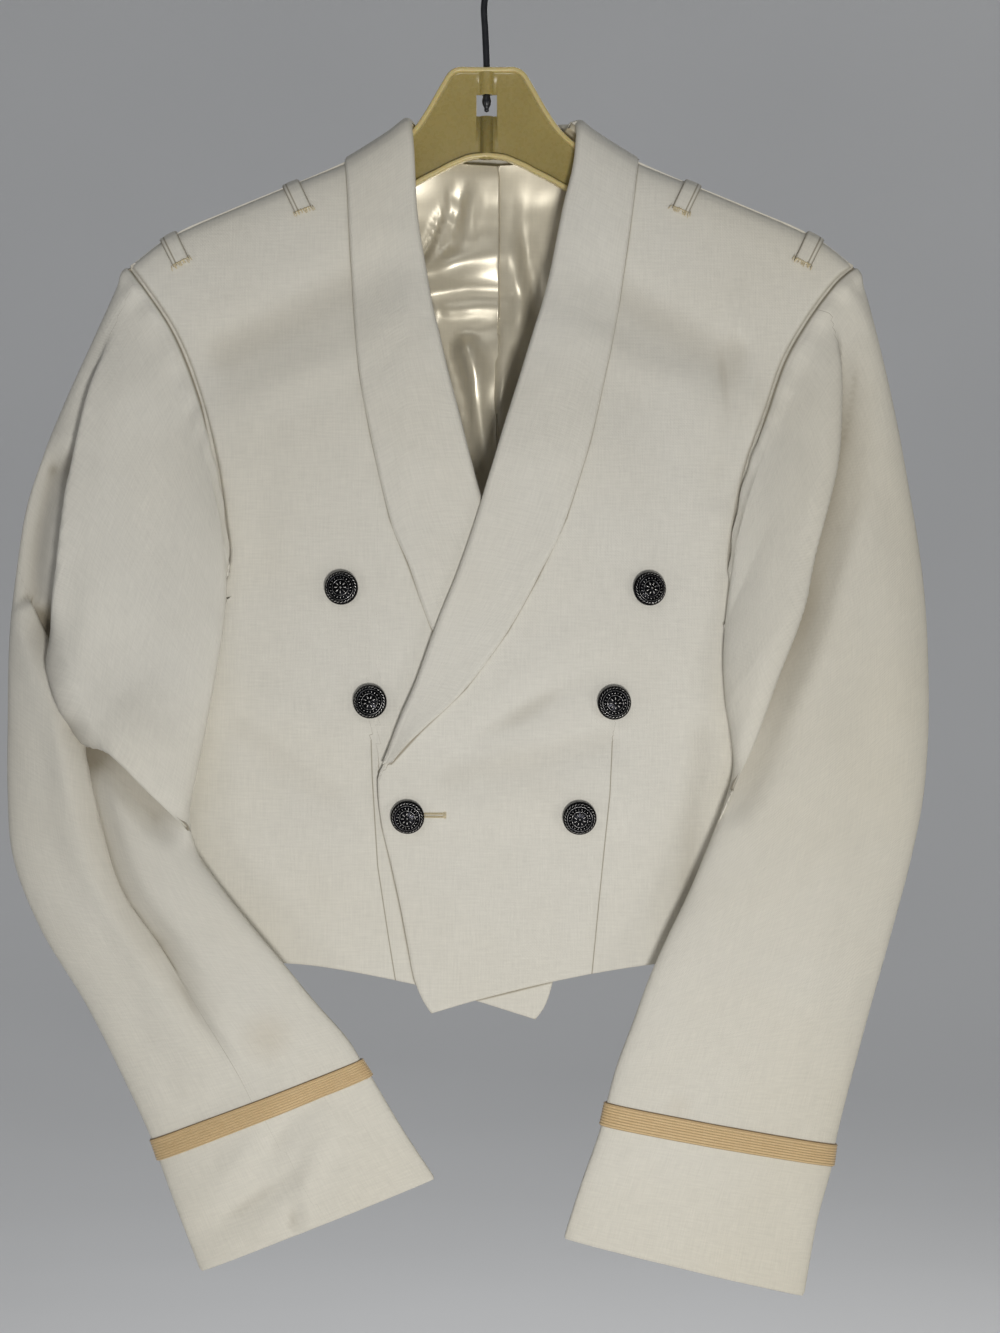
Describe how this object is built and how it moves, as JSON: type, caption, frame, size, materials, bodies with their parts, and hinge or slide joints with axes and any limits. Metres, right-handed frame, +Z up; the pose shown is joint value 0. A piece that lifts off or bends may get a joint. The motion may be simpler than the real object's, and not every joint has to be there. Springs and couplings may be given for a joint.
{
  "type": "mess jacket on a coat hanger",
  "caption": "Waist-length double-breasted white jacket with a shawl collar, banded cuffs and domed buttons, hung on a flat plastic hanger with a wire hook.",
  "frame": {"origin": "the underside of the top of the wire hook, where it rests on a rail", "axes": "+Z up, the front faces -Y, +X towards the wearer's left"},
  "size_m": [0.5241, 0.0847, 0.7844],
  "materials": {
    "shell": "fine ribbed off-white drill",
    "lining": "ivory satin with a soft sheen",
    "braid": "ribbed tan and gold braid",
    "buttons": "blackened brass, worn bright on the relief",
    "hanger": "cloudy amber moulded plastic",
    "hook": "wire with a smooth black coat"
  },
  "bodies": {
    "root": {"front_left": "shell", "front_right": "shell", "back_left": "shell", "back_right": "shell", "lining_back": "lining", "shawl_left": "shell", "shawl_right": "shell", "collar_stand": "shell", "sleeve_left_top": "shell", "sleeve_left_under": "shell", "sleeve_right_top": "shell", "sleeve_right_under": "shell", "braid_left": "braid", "braid_right": "braid", "shoulder_loop_left_inner": "shell", "shoulder_loop_left_outer": "shell", "shoulder_loop_right_inner": "shell", "shoulder_loop_right_outer": "shell", "button_left_upper": "buttons", "button_left_middle": "buttons", "button_left_lower": "buttons", "button_right_upper": "buttons", "button_right_middle": "buttons", "button_right_lower": "buttons", "hanger": "hanger", "hook": "hook"}
  },
  "joints": []
}
